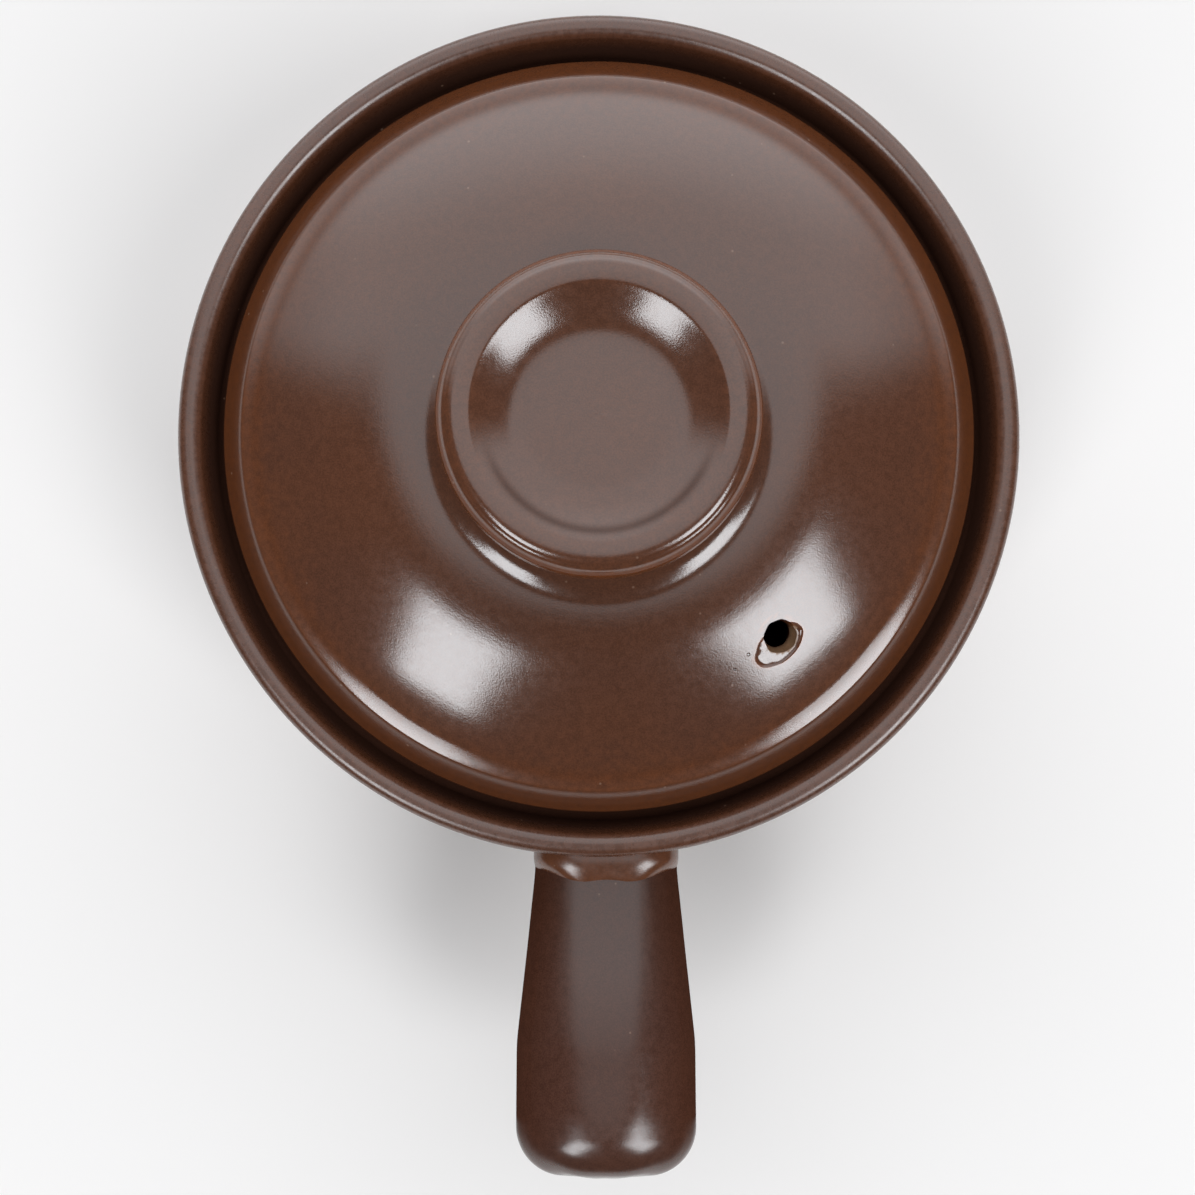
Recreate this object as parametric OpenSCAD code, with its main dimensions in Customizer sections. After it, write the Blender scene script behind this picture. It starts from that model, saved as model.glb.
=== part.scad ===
// Clay cooking pot with a stick handle and a loose domed lid.
// Millimetres. The pot's axis is Z, the table is z = 0 and the handle points along -Y.

/* [Pot] */
// Diameter across the widest part of the rim
rim_d = 180; // [160:1:210]
// Height of the rim's top above the table
pot_h = 92; // [80:1:120]
// How far the belly stands in from the rim's widest part
belly_in = 2; // [-2:0.5:5]
// Height at which the slope from the foot would meet the upright belly
belly_low = 16; // [10:1:24]
// Radius of the round between the pot's underside and its belly
belly_round = 44; // [25:1:55]
// Height at which the belly starts to draw in towards the rim
belly_high = 68; // [60:1:72]
// Thickness of the pot's wall
pot_wall = 6.5; // [5:0.5:9]
// Thickness of the pot's floor
pot_floor = 7; // [5:0.5:10]
// Radius of the round between the floor and the wall inside
floor_round = 14; // [6:1:20]

/* [Foot] */
// Outside diameter of the foot ring
foot_d = 112; // [90:1:124]
// Width of the foot ring
foot_w = 8; // [5:0.5:12]
// Height of the foot ring outside
foot_h = 3; // [2:0.5:5]
// Depth of the hollow inside the foot ring
foot_recess = 2; // [1:0.5:4]
// Radius of the foot ring's worn edges
foot_edge = 0.8; // [0.4:0.1:1.5]

/* [Rim] */
// Radius of the round lip on the rim
lip_r = 2.4; // [2:0.1:3.5]
// Depth of the groove under the lip, in from the belly
groove_depth = 2; // [1:0.5:4]
// Drop from the rim's top to the groove under the lip
groove_drop = 10; // [8:0.5:14]
// Drop from the rim's top to the ledge that carries the lid
seat_drop = 8.5; // [7:0.5:11]
// How far the wall above the ledge leans out towards the lip
gallery_lean = 2.6; // [0.5:0.1:3.5]
// Width of the ledge that carries the lid
ledge_w = 8; // [6:0.5:10]
// Thickness of the ledge at its inner edge
ledge_t = 4; // [3:0.5:6]
// Height of the slope under the ledge
ledge_slope = 8; // [6:0.5:12]
// Radius of the rounds along the ledge
ledge_round = 1.2; // [0.6:0.1:2]

/* [Lid] */
// Gap between the lid's edge and the wall round the ledge
lid_gap = 2.2; // [1.2:0.1:3]
// Height of the lid's upright edge above the ledge
lid_edge_h = 6; // [4:0.5:8]
// Width of the sloping band above the lid's edge, seen from above
band_w = 5; // [3:0.5:8]
// Height of the sloping band above the lid's edge
band_h = 5; // [3:0.5:8]
// Width of the nearly level brim inside the band
brim_w = 3.6; // [2:0.2:6]
// Fall of the brim, in degrees
brim_fall = 13; // [6:1:18]
// Slope of the dome where it meets the brim, in degrees
dome_slope = 27; // [22:1:32]
// Radius of the dome's curve
dome_r = 83; // [70:1:110]
// Thickness of the dome
dome_wall = 6.5; // [5:0.5:8]
// Width of the flat seat under the lid's edge
lid_seat_w = 6; // [4:0.5:7]
// Radius of the rounded crease between the band and the brim
crease_round = 1.2; // [0.6:0.1:2]
// Radius of the lid's lower edge
lid_edge_round = 0.8; // [0.4:0.1:1.5]

/* [Knob] */
// Diameter of the knob where it is widest
knob_d = 62; // [54:1:70]
// Height of the knob above its joint with the lid
knob_h = 25.6; // [21:0.1:30]
// Diameter of the knob's neck
neck_d = 55.6; // [52:0.2:57]
// Height of the neck's narrowest place above the joint
neck_h = 6; // [4:0.5:8]
// Height of the widest place's lower end above the joint
knob_low = 16; // [12:0.5:18]
// Radius of the swell from the neck out to the widest place
swell_round = 9; // [4:0.5:12]
// Radius of the knob's outer shoulder
shoulder_round = 4; // [2.5:0.1:5]
// Diameter of the dish at the knob's lip
dish_d = 48.4; // [44:0.2:52]
// Depth of the dish
dish_depth = 5.2; // [3:0.1:6.5]
// Width of the steep step under the dish's lip
dish_step_w = 1.8; // [1:0.1:3]
// Height of the steep step under the dish's lip
dish_step_h = 2.2; // [1:0.1:2.8]
// Diameter of the dish's floor, out to the slope that rises to the step
dish_floor_d = 33; // [26:0.5:38]
// Radius of the dish's lip
dish_lip_round = 1.6; // [0.8:0.1:3]
// Radius of the round between the step and the slope
dish_step_round = 3; // [1:0.5:5]
// Radius of the round between the dish's slope and its floor
dish_round = 26; // [4:0.5:30]
// Thickness of the knob's wall, which is hollow from below
knob_wall = 5.5; // [4.5:0.5:8]
// Radius of the round at the top of the knob's hollow
roof_round = 3; // [1:0.5:6]
// Radius of the edge where the knob's hollow opens into the lid
bore_round = 2; // [1:0.5:4]

/* [Boss under the knob] */
// Diameter at which the dome starts to curve up into the boss
flare_d = 75; // [70:0.5:80]
// Radius of the hollow curve from the dome up to the boss
flare_round = 16; // [12:0.5:20]
// Slope of the boss where it meets the knob, in degrees
flare_slope = 36; // [30:1:45]

/* [Steam vent] */
// Diameter of the vent, straight down through the lid
vent_d = 7; // [5:0.1:9]
// Diameter of the shallow hollow round the vent's mouth
sink_d = 11; // [9:0.1:13]
// Depth of the shallow hollow round the vent's mouth
sink_depth = 0.6; // [0.4:0.1:1.2]
// How far the shallow hollow lies outward from the vent
sink_shift = 2.2; // [1:0.1:3]
// Distance of the vent from the pot's axis
vent_from_axis = 55.6; // [50:0.1:60]
// Direction of the vent round the lid, in degrees from +X
vent_angle = -48.6; // [-180:0.1:180]

/* [Handle] */
// Distance of the handle's tip from the pot's axis
handle_reach = 165.8; // [150:0.1:190]
// Width of the handle at its root
handle_root_w = 33; // [26:0.5:36]
// Width of the handle where it is widest
handle_w = 41.2; // [37:0.1:46]
// Distance of the widest place back from the tip
handle_widest = 30; // [24:0.5:36]
// Radius of the round corners at the handle's tip
handle_tip_round = 10.5; // [8:0.5:15]
// Crown of the handle's end
handle_crown = 2; // [1:0.5:4]
// Thickness of the handle where it is widest
handle_t = 26.4; // [22:0.2:32]
// Thickness of the handle's clay wall
handle_wall = 7; // [5:0.5:8]
// Height of the handle's middle where it leaves the wall
handle_z = 59; // [54:0.5:62]
// Rise of the handle towards its tip, in degrees
handle_rise = 9; // [0:0.5:14]
// Distance of the handle's middle line from the pot's axis, sideways
handle_offset = 1.7; // [0:0.1:4]
// Diameter of the firing vent at the handle's tip
tip_vent_d = 4; // [3:0.1:6]
// Height of the firing vent above the handle's middle line
tip_vent_up = 2.5; // [0:0.1:3]

/* [Slip joints] */
// Thickness of the slip round the handle's root
slip_t = 3; // [2:0.1:4]
// How far the slip reaches along the handle from the belly
slip_reach = 11.5; // [8:0.5:14]
// Thickness of the slip's ridge near its end on the handle
slip_ridge = 1.6; // [0.6:0.1:2.2]
// Length of the slip's sloping end, down from the ridge
slip_taper = 4; // [2:0.1:5]
// Thickness of the slip at its very end
slip_edge = 0.2; // [0.1:0.1:0.5]
// Radius of the bead of slip round the knob's joint
bead_r = 1.4; // [1:0.1:1.8]
// How far the bead stands proud of the joint
bead_proud = 0.6; // [0.3:0.1:0.8]

/* [Hidden] */
$fn = 128;
// Turn of one straight step along a round, in degrees
round_step = 5;
glaze = "#54321f";
thin_glaze = "#6b3d20";

// Radii and heights of the pot
rim_r = rim_d / 2;
belly_r = rim_r - belly_in;
foot_r = foot_d / 2;
foot_in_r = foot_r - foot_w;
floor_z = foot_recess + pot_floor;
inner_r = belly_r - pot_wall;
lip_in_r = rim_r - 2 * lip_r;
seat_r = lip_in_r - gallery_lean;
mouth_r = seat_r - ledge_w;
seat_z = pot_h - seat_drop;
groove_r = belly_r - groove_depth;
groove_z = pot_h - groove_drop;

// The underside slopes from the foot to the belly, and the inside follows it at the wall's thickness
under_dir = unit([belly_r - foot_r, belly_low - foot_h]);
under_in = [foot_r, foot_h] + pot_wall * [-under_dir.y, under_dir.x];
under_rate = under_dir.y / under_dir.x;
inner_low = under_in.y + (inner_r - under_in.x) * under_rate;
floor_r = under_in.x + (floor_z - under_in.y) / under_rate;

// Radii and heights of the lid, up from the ledge
lid_r = seat_r - lid_gap;
lid_seat_r = lid_r - lid_seat_w;
crease_r = lid_r - band_w;
crease_z = seat_z + lid_edge_h + band_h;
dome_edge_r = crease_r - brim_w;
dome_edge_z = crease_z + brim_w * tan(brim_fall);
dome_mid = [dome_edge_r, dome_edge_z] - dome_r * [sin(dome_slope), cos(dome_slope)];
flare_r = flare_d / 2;
flare_start = asin((flare_r - dome_mid.x) / dome_r);
flare_mid = dome_mid + (dome_r + flare_round) * [sin(flare_start), cos(flare_start)];
boss_r = flare_mid.x - flare_round * sin(flare_slope);
joint_z = flare_mid.y - flare_round * cos(flare_slope);
dome_in_r = dome_r - dome_wall;

// Radii and heights of the knob, up from its joint with the boss
knob_r = knob_d / 2;
neck_r = neck_d / 2;
dish_r = dish_d / 2;
knob_top = joint_z + knob_h;
dish_z = knob_top - dish_depth;
bore_r = neck_r - knob_wall;
roof_z = dish_z - knob_wall;
bead_at = boss_r - bead_r + bead_proud;

// The handle's outline along its own middle line, which starts on the pot's axis
handle_len = handle_reach / cos(handle_rise);
handle_start = belly_r - 2 * pot_wall;
handle_shoulder = belly_r + slip_reach;
handle_in_ends = handle_len - handle_wall;

// The shallow hollow round the vent lies level with the dome
sink_at = vent_from_axis + sink_shift;
sink_slope = asin((sink_at - dome_mid.x) / dome_r);

function unit(v) = v / norm(v);

// Height of the dome's outer face at a distance from the axis
function dome_height(r) = dome_mid.y + sqrt(dome_r ^ 2 - (r - dome_mid.x) ^ 2);

// Points along an arc round a centre, from one angle to another
function arc(mid, r, from, to) =
    let (steps = max(1, ceil(abs(to - from) / round_step)))
    [for (i = [0:steps]) let (a = from + (to - from) * i / steps) mid + r * [cos(a), sin(a)]];

// Half the angle between the two sides that meet at a corner
function half_angle(a, b, c) = acos(max(-1, min(1, unit(a - b) * unit(c - b)))) / 2;

// Length that a corner's round takes from each of its sides
function round_length(p, i) =
    let (
        n = len(p),
        b = p[i],
        half = half_angle(xy(p[(i + n - 1) % n]), xy(b), xy(p[(i + 1) % n]))
    )
    b.z > 0 ? b.z / tan(half) : 0;

function xy(p) = [p.x, p.y];

// Share of its full round that a corner has room for beside its neighbour
function room(p, i, j) =
    let (need = round_length(p, i) + round_length(p, j))
    need > 0 ? min(1, 0.99 * norm(xy(p[i]) - xy(p[j])) / need) : 1;

// Arc that rounds one corner of an outline
function corner(p, i) =
    let (
        n = len(p),
        before = (i + n - 1) % n,
        after = (i + 1) % n,
        b = xy(p[i]),
        to_a = unit(xy(p[before]) - b),
        to_c = unit(xy(p[after]) - b),
        half = half_angle(xy(p[before]), b, xy(p[after])),
        r = p[i].z * min(room(p, before, i), room(p, i, after)),
        mid = b + unit(to_a + to_c) * r / sin(half),
        start = b + to_a * r / tan(half) - mid,
        turn = 180 - 2 * half,
        side = cross(to_a, to_c) > 0 ? -1 : 1,
        from = atan2(start.y, start.x)
    )
    arc(mid, r, from, from + side * turn);

// Outline of corners [x, y, round] with every round drawn
function rounded(p) =
    [for (i = [0:len(p) - 1]) each p[i].z > 0 ? corner(p, i) : [xy(p[i])]];

// Half outline of the pot's outside, from the axis under the foot up to the lip
pot_outside = [
    [0, foot_recess, 0],
    [foot_in_r, foot_recess, foot_edge],
    [foot_in_r, 0, foot_edge],
    [foot_r, 0, foot_edge],
    [foot_r, foot_h, foot_edge],
    [belly_r, belly_low, belly_round],
    [belly_r, belly_high, belly_round],
    [groove_r, groove_z, lip_r],
    [rim_r, pot_h - 2 * lip_r, lip_r],
    [rim_r, pot_h, lip_r],
];

// Half outline of the pot's inside, from the lip down over the ledge to the floor
pot_inside = [
    [lip_in_r, pot_h, lip_r],
    [seat_r, seat_z, ledge_round],
    [mouth_r, seat_z, ledge_round],
    [mouth_r, seat_z - ledge_t, ledge_round],
    [inner_r, seat_z - ledge_t - ledge_slope, ledge_slope],
    [inner_r, inner_low, belly_round - pot_wall],
    [floor_r, floor_z, floor_round],
    [0, floor_z, 0],
];

// Half outline of the lid: the bore under the knob, the hollow, the edge, then the dome up to the boss
module lid_outline() {
    edge = [
        [lid_seat_r, seat_z, lid_edge_round],
        [lid_r, seat_z, lid_edge_round],
        [lid_r, seat_z + lid_edge_h, crease_round],
        [crease_r, crease_z, crease_round],
        [dome_edge_r, dome_edge_z, 0],
    ];
    dome = arc(dome_mid, dome_r, 90 - dome_slope, 90 - flare_start);
    flare = arc(flare_mid, flare_round, -90 - flare_start, -90 - flare_slope);
    hollow = arc(dome_mid, dome_in_r, 90, 90 - dome_slope);
    bore = [[bore_r, joint_z, 0], [bore_r, hollow[0].y, bore_round]];
    under = [for (p = hollow) [p.x, p.y, 0]];
    outer = [for (p = concat(dome, flare)) [p.x, p.y, 0]];
    polygon(rounded(concat(bore, under, edge, outer)));
}

// Half outline of the knob: its neck, shoulder and lip, then the dish, then the hollow underneath
module knob_outline() {
    polygon(rounded([
        [bore_r, joint_z, 0],
        [boss_r, joint_z, 0],
        [neck_r, joint_z + neck_h, neck_h],
        [knob_r, joint_z + knob_low, swell_round],
        [knob_r, knob_top, shoulder_round],
        [dish_r, knob_top, dish_lip_round],
        [dish_r - dish_step_w, knob_top - dish_step_h, dish_step_round],
        [dish_floor_d / 2, dish_z, dish_round],
        [0, dish_z, 0],
        [0, roof_z, 0],
        [bore_r, roof_z, roof_round],
    ]));
}

// Half outline of the handle along its middle line, drawn in on every side by a margin
module handle_outline(margin = 0) {
    widest = handle_len - handle_widest;
    polygon(rounded([
        [0, handle_start, 0],
        [handle_root_w / 2 - margin, handle_start, 0],
        [handle_root_w / 2 - margin, handle_shoulder, handle_w],
        [handle_w / 2 - margin, widest, handle_w],
        [handle_w / 2 - margin, handle_len - handle_crown - margin, handle_tip_round - margin / 2],
        [0, handle_len - margin, 0],
    ]));
}

// Half outline of the slip round the handle's root: thick at the wall, with a ridge where it ends
module slip_outline() {
    root_r = handle_root_w / 2;
    end = belly_r + slip_reach;
    polygon(rounded([
        [0, handle_start, 0],
        [root_r + slip_t, handle_start, 0],
        [root_r + slip_t, belly_r, slip_t],
        [root_r + slip_ridge, end - slip_taper, slip_taper],
        [root_r + slip_edge, end, 0],
        [0, end, 0],
    ]));
}

// Stands its children on the handle's middle line, which leaves the pot's axis along Z
module on_handle() {
    translate([handle_offset, 0, handle_z - belly_r * tan(handle_rise)])
        rotate([90 - handle_rise, 0, 0])
        children();
}

// Turns a half outline into a flattened round along the handle, a quarter turn at a time
module along_handle() {
    on_handle()
        for (quarter = [0:3])
            scale([1, handle_t / handle_w, 1])
                rotate([0, 0, 90 * quarter])
                rotate_extrude(angle = 90)
                children();
}

// The pot's whole outer form, filled
module pot_form() {
    rotate_extrude()
        polygon(rounded(concat(pot_outside, [[0, pot_h, 0]])));
}

// Ring of slip in the joint between the boss and the knob
module slip_bead() {
    translate([0, 0, joint_z])
        rotate_extrude()
        translate([bead_at, 0])
        circle(bead_r);
}

module pot_body() {
    color(glaze)
        rotate_extrude()
        polygon(rounded(concat(pot_outside, pot_inside)));
}

module stick_handle() {
    color(glaze)
        difference() {
            along_handle() handle_outline();
            along_handle() handle_outline(handle_wall);
            pot_form();
            on_handle()
                translate([0, tip_vent_up, handle_in_ends - handle_wall])
                cylinder(d = tip_vent_d, h = 3 * handle_wall);
        }
}

module handle_slip() {
    color(thin_glaze)
        difference() {
            along_handle() slip_outline();
            along_handle() handle_outline();
            pot_form();
        }
}

module lid_dome() {
    color(glaze)
        difference() {
            rotate_extrude() lid_outline();
            slip_bead();
            rotate([0, 0, vent_angle]) {
                translate([vent_from_axis, 0, seat_z])
                    cylinder(d = vent_d, h = knob_top - seat_z);
                translate([sink_at, 0, dome_height(sink_at)])
                    rotate([0, sink_slope, 0])
                    cylinder(d = sink_d, h = 2 * sink_depth, center = true);
            }
        }
}

module lid_knob() {
    color(glaze)
        difference() {
            rotate_extrude() knob_outline();
            slip_bead();
        }
}

module knob_slip() {
    color(thin_glaze) slip_bead();
}

pot_body();
stick_handle();
handle_slip();
lid_dome();
lid_knob();
knob_slip();
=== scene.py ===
"""Clay cooking pot with a stick handle and a loose domed lid: form, glaze and studio."""

import math

import bpy
import numpy as np
from bpy.props import FloatProperty, FloatVectorProperty, IntProperty, PointerProperty
from mathutils import Matrix, Vector


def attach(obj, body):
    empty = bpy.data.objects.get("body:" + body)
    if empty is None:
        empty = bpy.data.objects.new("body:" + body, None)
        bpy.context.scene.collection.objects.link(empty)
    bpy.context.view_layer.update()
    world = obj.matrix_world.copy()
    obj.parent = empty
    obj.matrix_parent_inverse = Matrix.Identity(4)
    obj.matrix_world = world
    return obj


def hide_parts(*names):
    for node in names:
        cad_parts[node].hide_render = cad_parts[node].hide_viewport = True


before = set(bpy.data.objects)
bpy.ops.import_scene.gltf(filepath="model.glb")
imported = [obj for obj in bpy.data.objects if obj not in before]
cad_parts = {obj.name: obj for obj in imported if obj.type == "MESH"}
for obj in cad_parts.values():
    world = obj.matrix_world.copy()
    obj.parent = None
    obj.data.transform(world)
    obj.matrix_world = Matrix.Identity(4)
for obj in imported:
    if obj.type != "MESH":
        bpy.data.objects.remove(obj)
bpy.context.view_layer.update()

bl_info = {
    "name": "Clay Cooking Pot",
    "version": (1, 0, 0),
    "blender": (4, 0, 0),
    "location": "View3D > Sidebar > Clay Pot",
    "description": "Builds a glazed clay cooking pot with a stick handle and a domed lid",
    "category": "Object",
}

TURN = 2 * math.pi
# How the glaze lies all over a piece of slip.
SLIP_FACTS = {"thin": 0.3, "bare": 0.0, "pool": 0.0}
# Where the two pinholes in the lid's glaze lie, seen from above.
PINHOLES = ((0.028, -0.0493), (0.0308, -0.0462))
# The lamps' directions from the lid, with their sizes and rolls in degrees.
LAMPS = {
    "left lamp": {"toward": (-0.387, -0.476, 0.79), "wide": 14.5, "tall": 26.5, "roll": 7},
    "right lamp": {"toward": (0.483, -0.38, 0.789), "wide": 18, "tall": 27, "roll": -10},
}
LAMP_TINT = (0.94, 0.97, 1.0)
ROOM_TINT = (0.93, 0.965, 1.0)


def length(name, description, mm):
    """A size in the panel, given in millimetres."""
    return FloatProperty(
        name=name, description=description, default=mm / 1000, unit="LENGTH", precision=4, step=0.1
    )


def slope(name, description, degrees):
    """An angle in the panel, given in degrees."""
    return FloatProperty(
        name=name, description=description, default=math.radians(degrees), subtype="ANGLE"
    )


def share(name, description, value, top=1.0):
    """A plain number in the panel."""
    return FloatProperty(name=name, description=description, default=value, min=0.0, max=top)


def linear(value):
    """Light of one colour channel that is written from 0 to 255."""
    v = value / 255
    return v / 12.92 if v <= 0.04045 else ((v + 0.055) / 1.055) ** 2.4


def colour(name, description, red, green, blue):
    """A colour in the panel, written from 0 to 255."""
    return FloatVectorProperty(
        name=name,
        description=description,
        default=(linear(red), linear(green), linear(blue)),
        subtype="COLOR",
        min=0.0,
        max=1.0,
    )


class PotSizes(bpy.types.PropertyGroup):
    """Sizes of the thrown pot."""

    rim_d: length("Rim", "Diameter across the widest part of the rim", 180)
    pot_h: length("Height", "Height of the rim's top above the table", 92)
    belly_in: length("Belly", "How far the belly stands in from the rim", 2)
    belly_low: length("Belly Low", "Height where the underside would meet the belly", 16)
    belly_round: length("Belly Round", "Radius between the underside and the belly", 44)
    belly_high: length("Belly High", "Height where the belly draws in to the rim", 68)
    wall: length("Wall", "Thickness of the wall", 6.5)
    floor: length("Floor", "Thickness of the floor", 7)
    floor_round: length("Floor Round", "Radius between the floor and the wall", 14)
    foot_d: length("Foot", "Outside diameter of the foot ring", 112)
    foot_w: length("Foot Width", "Width of the foot ring", 8)
    foot_h: length("Foot Height", "Height of the foot ring", 3)
    foot_recess: length("Foot Hollow", "Depth of the hollow in the foot ring", 2)
    foot_edge: length("Foot Edge", "Radius of the foot ring's edges", 0.8)
    lip_r: length("Lip", "Radius of the round lip", 2.4)
    groove_depth: length("Groove", "Depth of the groove under the lip", 2)
    groove_drop: length("Groove Drop", "Drop from the rim's top to the groove", 10)
    seat_drop: length("Seat Drop", "Drop from the rim's top to the lid's ledge", 8.5)
    gallery_lean: length("Lean", "How far the wall above the ledge leans out", 2.6)
    ledge_w: length("Ledge Width", "Width of the ledge that carries the lid", 8)
    ledge_t: length("Ledge", "Thickness of the ledge", 4)
    ledge_slope: length("Ledge Slope", "Height of the slope under the ledge", 8)
    ledge_round: length("Ledge Round", "Radius of the rounds along the ledge", 1.2)
    uneven: length("Uneven", "Depth of the thrown wall's unevenness", 0.12)
    ring_apart: length("Ring Spacing", "Spacing of the throwing rings inside", 5.5)
    ring_h: length("Ring Height", "Height of the throwing rings inside", 0.12)


class LidSizes(bpy.types.PropertyGroup):
    """Sizes of the domed lid and its steam vent."""

    gap: length("Gap", "Gap between the lid's edge and the wall round it", 2.2)
    edge_h: length("Edge", "Height of the lid's upright edge", 6)
    band_w: length("Band Width", "Width of the sloping band above the edge", 5)
    band_h: length("Band Height", "Height of the sloping band above the edge", 5)
    brim_w: length("Brim", "Width of the nearly level brim", 3.6)
    brim_fall: slope("Brim Fall", "Fall of the brim", 13)
    dome_slope: slope("Dome Slope", "Slope of the dome where it meets the brim", 27)
    dome_r: length("Dome", "Radius of the dome's curve", 83)
    dome_wall: length("Dome Wall", "Thickness of the dome", 6.5)
    seat_w: length("Seat", "Width of the flat seat under the edge", 6)
    crease_round: length("Crease", "Radius of the crease between band and brim", 1.2)
    edge_round: length("Edge Round", "Radius of the lower edge", 0.8)
    flare_d: length("Flare", "Diameter where the dome curves up into the boss", 75)
    flare_round: length("Flare Round", "Radius of the curve up into the boss", 16)
    brim_flat: slope("Brim Slope", "Slope of the brim's flat", 8)
    hollow_d: length("Hollow", "Diameter where the hollow round the knob starts", 72.6)
    hollow_round: length("Hollow Round", "Radius of the hollow round the knob", 9)
    flare_slope: slope("Flare Slope", "Slope of the boss at the knob", 36)
    vent_d: length("Vent", "Diameter of the steam vent", 7)
    sink_d: length("Vent Hollow", "Diameter of the shallow hollow round the vent", 11)
    sink_depth: length("Vent Hollow Depth", "Depth of the shallow hollow round the vent", 0.6)
    sink_shift: length("Vent Hollow Shift", "How far the hollow lies outward from the vent", 2.2)
    vent_at: length("Vent Place", "Distance of the vent from the axis", 55.6)
    vent_angle: slope("Vent Angle", "Direction of the vent from +X", -48.6)
    ring_apart: length("Ring Spacing", "Spacing of the throwing rings underneath", 6)
    ring_h: length("Ring Height", "Height of the throwing rings underneath", 0.1)


class KnobSizes(bpy.types.PropertyGroup):
    """Sizes of the dished knob."""

    knob_d: length("Knob", "Diameter of the knob where it is widest", 62)
    knob_h: length("Height", "Height of the knob above its joint", 25.6)
    neck_d: length("Neck", "Diameter of the neck", 55.6)
    neck_h: length("Neck Height", "Height of the neck above the joint", 6)
    knob_low: length("Swell Height", "Height of the widest place's lower end", 16)
    swell_round: length("Swell", "Radius from the neck out to the widest place", 9)
    shoulder_round: length("Shoulder", "Radius of the outer shoulder", 4)
    dish_d: length("Dish", "Diameter of the dish at its lip", 48.4)
    dish_depth: length("Dish Depth", "Depth of the dish", 5.2)
    step_w: length("Step Width", "Width of the steep step under the lip", 1.8)
    step_h: length("Step Height", "Height of the steep step under the lip", 2.2)
    step_round: length("Step Round", "Radius between the step and the slope", 3)
    floor_d: length("Dish Floor", "Diameter of the dish's floor", 33)
    dish_lip: length("Dish Lip", "Radius of the dish's lip", 1.6)
    dish_round: length("Dish Round", "Radius between the dish's slope and floor", 26)
    bowl_depth: length("Bowl Depth", "Depth of the bowl that fills the dish", 3.2)
    knob_wall: length("Knob Wall", "Thickness of the hollow knob's wall", 5.5)
    roof_round: length("Roof Round", "Radius at the top of the knob's hollow", 3)
    bore_round: length("Bore Round", "Radius where the hollow opens into the lid", 2)
    bead_r: length("Bead", "Radius of the bead of slip at the joint", 1.4)
    bead_proud: length("Bead Proud", "How far the bead stands proud", 0.6)
    ridge_h: length("Ridge Height", "Height of the turning ridges round the side", 0.04)
    groove_d: length("Groove", "Diameter of the inner of two fine grooves", 57.4)
    groove_apart: length("Groove Spacing", "Distance between the two fine grooves", 1.5)
    groove_depth: length("Groove Depth", "Depth of the two fine grooves", 0.1)


class HandleSizes(bpy.types.PropertyGroup):
    """Sizes of the stick handle and the slip at its root."""

    reach: length("Reach", "Distance of the tip from the pot's axis", 165.8)
    root_w: length("Root", "Width at the root", 33)
    width: length("Width", "Width where it is widest", 41.2)
    widest: length("Widest", "Distance of the widest place from the tip", 30)
    tip_round: length("Tip Round", "Radius of the corners at the tip", 10.5)
    crown: length("Crown", "Crown of the end", 2)
    thick: length("Thickness", "Thickness where it is widest", 26.4)
    height: length("Height", "Height where it leaves the wall", 59)
    rise: slope("Rise", "Rise towards the tip", 9)
    offset: length("Offset", "Distance sideways from the pot's axis", 1.7)
    vent_d: length("Vent", "Diameter of the firing vent at the tip", 4)
    vent_up: length("Vent Place", "Height of the vent above the middle line", 2.5)
    slip_t: length("Slip", "Thickness of the slip at the wall", 3)
    slip_reach: length("Slip Reach", "How far the slip reaches along the handle", 11.5)
    slip_ridge: length("Slip Ridge", "Thickness of the slip's ridge", 1.6)
    slip_taper: length("Slip Taper", "Length of the slip's sloping end", 4)
    slip_smear: length("Slip Smear", "How far the slip is smeared on beyond its ridge", 3.4)
    slip_edge: length("Slip Edge", "Thickness of the slip at its very end", 0.2)
    slip_roll: length("Slip Roll", "Thickness of the roll that the slip is smeared into", 3)
    slip_bow: length("Slip Bow", "How much shorter the slip is at the handle's sides", 3.4)
    slip_full: length("Slip Full", "How far from the wall the slip keeps its thickness", 8)
    slip_fall: length("Slip Fall", "Length over which the slip thins out on top", 6.4)
    press: length("Press", "How far the top is pressed flat", 1.4)
    press_w: share("Press Width", "Share of the width that is pressed flat", 0.62)
    worn: length("Worn Tip", "How widely the top is worn round at the tip", 4)
    lump: length("Lumps", "Height of the lumps from forming it by hand", 0.12)


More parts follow.
